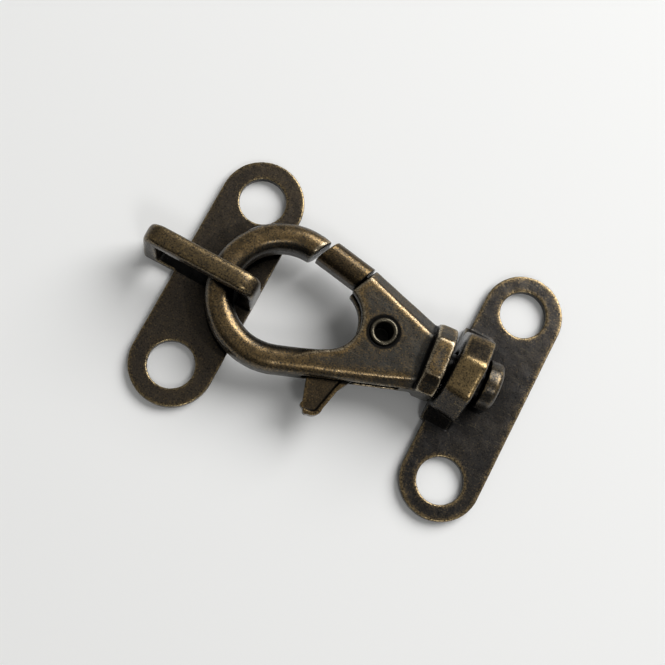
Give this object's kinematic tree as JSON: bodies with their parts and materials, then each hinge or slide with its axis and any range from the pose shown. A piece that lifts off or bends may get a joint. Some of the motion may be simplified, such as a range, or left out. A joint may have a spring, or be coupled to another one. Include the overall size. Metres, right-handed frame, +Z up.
{
  "type": "snap hook closure",
  "caption": "Swivelling trigger snap hook on a screw plate, clipped to a standing loop on a second screw plate, in antique brass.",
  "frame": {"origin": "centre of the swivel plate's hole pattern, on the underside of the plate", "axes": "+Z up from the underside of the plates, +Y along the plates, +X from the hook towards the swivel plate's outer edge"},
  "size_m": [0.0525, 0.0382, 0.0107],
  "materials": {
    "plate_brass": "antique brass plating, dark patina with worn rims",
    "hook_brass": "antique brass plating, gold wear on the crests",
    "rivet_brass": "pale worn brass plating",
    "spring_wire": "drawn spring wire"
  },
  "bodies": {
    "swivel_plate": {"swivel_plate": "plate_brass"},
    "hook": {"hook_body": "hook_brass", "swivel_rivet": "rivet_brass", "gate_rivet": "rivet_brass", "gate_spring": "spring_wire"},
    "gate": {"gate_lever": "hook_brass"},
    "loop": {"loop_plate": "plate_brass"}
  },
  "joints": [
    {"name": "hook_swivel", "type": "hinge", "parent": "swivel_plate", "child": "hook", "pos_m": [-0.00405, 0.00045, 0.0047], "axis": [-0.9952, -0.0976, 0], "continuous": true},
    {"name": "gate_hinge", "type": "hinge", "parent": "hook", "child": "gate", "pos_m": [-0.01541, 0.00004, 0.0047], "axis": [0, 0, 1], "range_deg": [0, 28], "stiffness_Nm_per_rad": 0.02, "springref_deg": -22.92, "deforming": ["gate_spring"]},
    {"name": "loop_hinge", "type": "hinge", "parent": "hook", "child": "loop", "pos_m": [-0.03644, -0.00318, 0.0047], "axis": [0, 1, 0], "range_deg": [-8, 95]}
  ]
}
